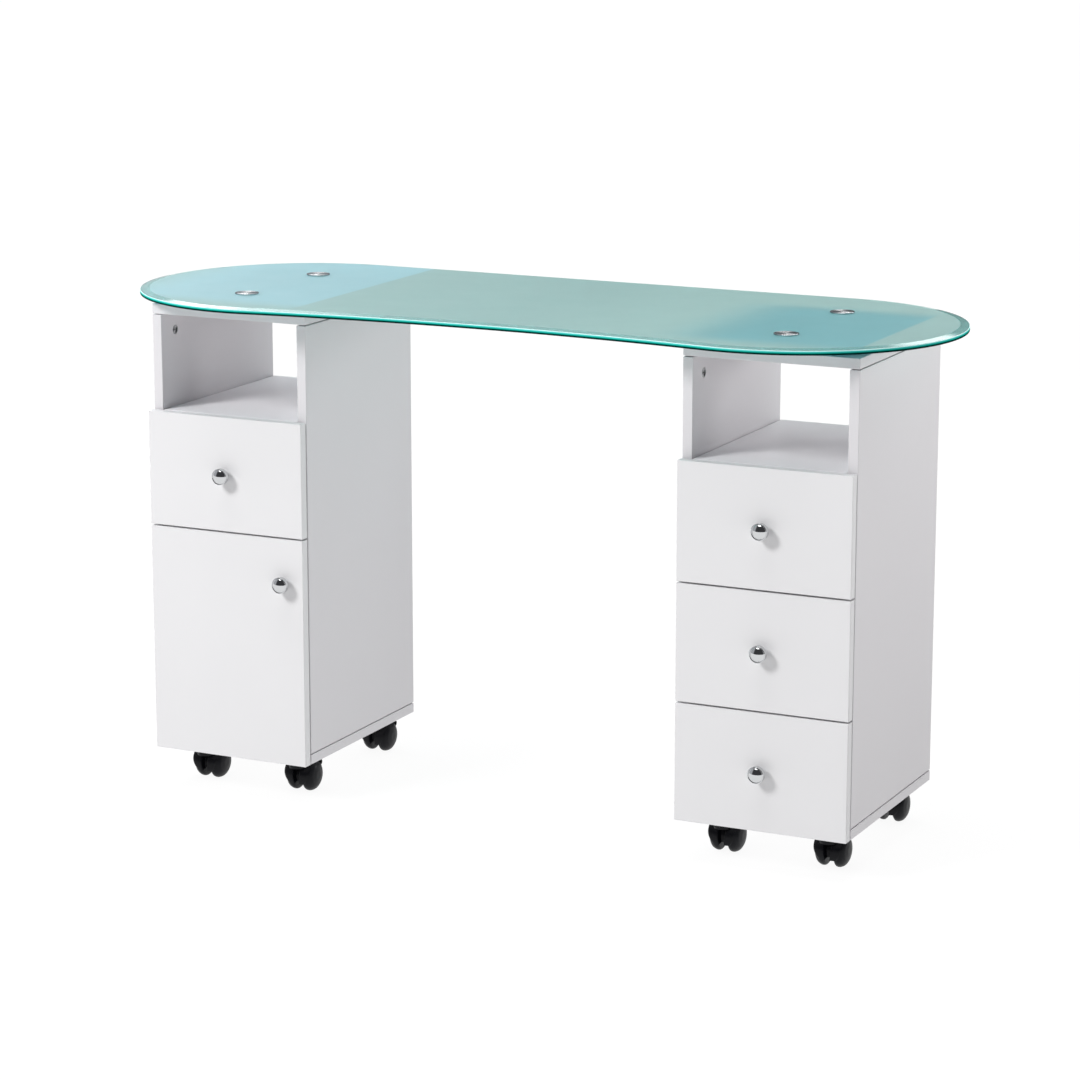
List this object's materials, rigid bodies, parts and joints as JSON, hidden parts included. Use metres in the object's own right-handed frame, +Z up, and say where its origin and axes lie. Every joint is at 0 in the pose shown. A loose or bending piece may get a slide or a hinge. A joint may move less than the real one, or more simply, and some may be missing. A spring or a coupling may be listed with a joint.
{
  "type": "manicure table",
  "caption": "Nail desk with a frosted glass top on two rolling board cabinets, with open niches, drawers and a cupboard door.",
  "frame": {"origin": "on the floor under the middle of the glass top", "axes": "+X along the table towards its right cabinet as seen from the fronts, +Y towards the back, away from the drawer fronts, +Z up"},
  "size_m": [1.304, 0.5, 0.7705],
  "materials": {
    "white_board": "satin white melamine coating on board, with matching edge band",
    "white_hardboard": "matt white coated hardboard",
    "aqua_glass": "tempered, polished edge, frosted aqua underside",
    "brushed_steel": "circular brushed",
    "chrome": "polished",
    "zinc_plate": "bright zinc plated",
    "white_metal": "white powder coat",
    "black_nylon": "satin moulded"
  },
  "bodies": {
    "root": {"glass_standoff_left_back": "brushed_steel", "glass_standoff_left_front": "brushed_steel", "glass_standoff_right_back": "brushed_steel", "glass_standoff_right_front": "brushed_steel", "glass_top": "aqua_glass", "left_cabinet_back": "white_hardboard", "left_cabinet_bottom": "white_board", "left_cabinet_divider_shelf": "white_board", "left_cabinet_left_side": "white_board", "left_cabinet_niche_shelf": "white_board", "left_cabinet_right_side": "white_board", "left_cabinet_top": "white_board", "left_drawer_runner_left": "white_metal", "left_drawer_runner_right": "white_metal", "lower_hinge_arm": "zinc_plate", "right_cabinet_back": "white_hardboard", "right_cabinet_bottom": "white_board", "right_cabinet_left_side": "white_board", "right_cabinet_niche_shelf": "white_board", "right_cabinet_right_side": "white_board", "right_cabinet_top": "white_board", "right_lower_drawer_runner_left": "white_metal", "right_lower_drawer_runner_right": "white_metal", "right_middle_drawer_runner_left": "white_metal", "right_middle_drawer_runner_right": "white_metal", "right_upper_drawer_runner_left": "white_metal", "right_upper_drawer_runner_right": "white_metal", "upper_hinge_arm": "zinc_plate"},
    "left_drawer": {"left_drawer_front": "white_board", "left_drawer_box": "white_board", "left_drawer_knob": "chrome"},
    "right_upper_drawer": {"right_upper_drawer_front": "white_board", "right_upper_drawer_box": "white_board", "right_upper_drawer_knob": "chrome"},
    "right_middle_drawer": {"right_middle_drawer_front": "white_board", "right_middle_drawer_box": "white_board", "right_middle_drawer_knob": "chrome"},
    "right_lower_drawer": {"right_lower_drawer_front": "white_board", "right_lower_drawer_box": "white_board", "right_lower_drawer_knob": "chrome"},
    "door": {"cupboard_door": "white_board", "cupboard_door_knob": "chrome", "upper_hinge_cup": "zinc_plate", "lower_hinge_cup": "zinc_plate"},
    "left_cabinet_caster_front_left_swivel": {"left_cabinet_caster_front_left_hood": "black_nylon"},
    "left_cabinet_caster_front_left_wheel_pair": {"left_cabinet_caster_front_left_wheels": "black_nylon"},
    "left_cabinet_caster_front_right_swivel": {"left_cabinet_caster_front_right_hood": "black_nylon"},
    "left_cabinet_caster_front_right_wheel_pair": {"left_cabinet_caster_front_right_wheels": "black_nylon"},
    "left_cabinet_caster_back_left_swivel": {"left_cabinet_caster_back_left_hood": "black_nylon"},
    "left_cabinet_caster_back_left_wheel_pair": {"left_cabinet_caster_back_left_wheels": "black_nylon"},
    "left_cabinet_caster_back_right_swivel": {"left_cabinet_caster_back_right_hood": "black_nylon"},
    "left_cabinet_caster_back_right_wheel_pair": {"left_cabinet_caster_back_right_wheels": "black_nylon"},
    "right_cabinet_caster_front_left_swivel": {"right_cabinet_caster_front_left_hood": "black_nylon"},
    "right_cabinet_caster_front_left_wheel_pair": {"right_cabinet_caster_front_left_wheels": "black_nylon"},
    "right_cabinet_caster_front_right_swivel": {"right_cabinet_caster_front_right_hood": "black_nylon"},
    "right_cabinet_caster_front_right_wheel_pair": {"right_cabinet_caster_front_right_wheels": "black_nylon"},
    "right_cabinet_caster_back_left_swivel": {"right_cabinet_caster_back_left_hood": "black_nylon"},
    "right_cabinet_caster_back_left_wheel_pair": {"right_cabinet_caster_back_left_wheels": "black_nylon"},
    "right_cabinet_caster_back_right_swivel": {"right_cabinet_caster_back_right_hood": "black_nylon"},
    "right_cabinet_caster_back_right_wheel_pair": {"right_cabinet_caster_back_right_wheels": "black_nylon"}
  },
  "joints": [
    {"name": "left_drawer_slide", "type": "slide", "parent": "root", "child": "left_drawer", "axis": [0, -1, 0], "range_m": [0, 0.225]},
    {"name": "right_upper_drawer_slide", "type": "slide", "parent": "root", "child": "right_upper_drawer", "axis": [0, -1, 0], "range_m": [0, 0.225]},
    {"name": "right_middle_drawer_slide", "type": "slide", "parent": "root", "child": "right_middle_drawer", "axis": [0, -1, 0], "range_m": [0, 0.225]},
    {"name": "right_lower_drawer_slide", "type": "slide", "parent": "root", "child": "right_lower_drawer", "axis": [0, -1, 0], "range_m": [0, 0.225]},
    {"name": "cupboard_door_hinge", "type": "hinge", "parent": "root", "child": "door", "pos_m": [-0.568, -0.175, 0.2387], "axis": [0, 0, -1], "range_deg": [0, 105]},
    {"name": "left_cabinet_caster_front_left_swivel_joint", "type": "hinge", "parent": "root", "child": "left_cabinet_caster_front_left_swivel", "pos_m": [-0.518, -0.128, 0.063], "axis": [0, 0, 1], "continuous": true},
    {"name": "left_cabinet_caster_front_left_wheel_joint", "type": "hinge", "parent": "left_cabinet_caster_front_left_swivel", "child": "left_cabinet_caster_front_left_wheel_pair", "pos_m": [-0.518, -0.106, 0.025], "axis": [1, 0, 0], "continuous": true},
    {"name": "left_cabinet_caster_front_right_swivel_joint", "type": "hinge", "parent": "root", "child": "left_cabinet_caster_front_right_swivel", "pos_m": [-0.354, -0.128, 0.063], "axis": [0, 0, 1], "continuous": true},
    {"name": "left_cabinet_caster_front_right_wheel_joint", "type": "hinge", "parent": "left_cabinet_caster_front_right_swivel", "child": "left_cabinet_caster_front_right_wheel_pair", "pos_m": [-0.354, -0.106, 0.025], "axis": [1, 0, 0], "continuous": true},
    {"name": "left_cabinet_caster_back_left_swivel_joint", "type": "hinge", "parent": "root", "child": "left_cabinet_caster_back_left_swivel", "pos_m": [-0.518, 0.116, 0.063], "axis": [0, 0, 1], "continuous": true},
    {"name": "left_cabinet_caster_back_left_wheel_joint", "type": "hinge", "parent": "left_cabinet_caster_back_left_swivel", "child": "left_cabinet_caster_back_left_wheel_pair", "pos_m": [-0.518, 0.138, 0.025], "axis": [1, 0, 0], "continuous": true},
    {"name": "left_cabinet_caster_back_right_swivel_joint", "type": "hinge", "parent": "root", "child": "left_cabinet_caster_back_right_swivel", "pos_m": [-0.354, 0.116, 0.063], "axis": [0, 0, 1], "continuous": true},
    {"name": "left_cabinet_caster_back_right_wheel_joint", "type": "hinge", "parent": "left_cabinet_caster_back_right_swivel", "child": "left_cabinet_caster_back_right_wheel_pair", "pos_m": [-0.354, 0.138, 0.025], "axis": [1, 0, 0], "continuous": true},
    {"name": "right_cabinet_caster_front_left_swivel_joint", "type": "hinge", "parent": "root", "child": "right_cabinet_caster_front_left_swivel", "pos_m": [0.354, -0.128, 0.063], "axis": [0, 0, 1], "continuous": true},
    {"name": "right_cabinet_caster_front_left_wheel_joint", "type": "hinge", "parent": "right_cabinet_caster_front_left_swivel", "child": "right_cabinet_caster_front_left_wheel_pair", "pos_m": [0.354, -0.106, 0.025], "axis": [1, 0, 0], "continuous": true},
    {"name": "right_cabinet_caster_front_right_swivel_joint", "type": "hinge", "parent": "root", "child": "right_cabinet_caster_front_right_swivel", "pos_m": [0.518, -0.128, 0.063], "axis": [0, 0, 1], "continuous": true},
    {"name": "right_cabinet_caster_front_right_wheel_joint", "type": "hinge", "parent": "right_cabinet_caster_front_right_swivel", "child": "right_cabinet_caster_front_right_wheel_pair", "pos_m": [0.518, -0.106, 0.025], "axis": [1, 0, 0], "continuous": true},
    {"name": "right_cabinet_caster_back_left_swivel_joint", "type": "hinge", "parent": "root", "child": "right_cabinet_caster_back_left_swivel", "pos_m": [0.354, 0.116, 0.063], "axis": [0, 0, 1], "continuous": true},
    {"name": "right_cabinet_caster_back_left_wheel_joint", "type": "hinge", "parent": "right_cabinet_caster_back_left_swivel", "child": "right_cabinet_caster_back_left_wheel_pair", "pos_m": [0.354, 0.138, 0.025], "axis": [1, 0, 0], "continuous": true},
    {"name": "right_cabinet_caster_back_right_swivel_joint", "type": "hinge", "parent": "root", "child": "right_cabinet_caster_back_right_swivel", "pos_m": [0.518, 0.116, 0.063], "axis": [0, 0, 1], "continuous": true},
    {"name": "right_cabinet_caster_back_right_wheel_joint", "type": "hinge", "parent": "right_cabinet_caster_back_right_swivel", "child": "right_cabinet_caster_back_right_wheel_pair", "pos_m": [0.518, 0.138, 0.025], "axis": [1, 0, 0], "continuous": true}
  ]
}
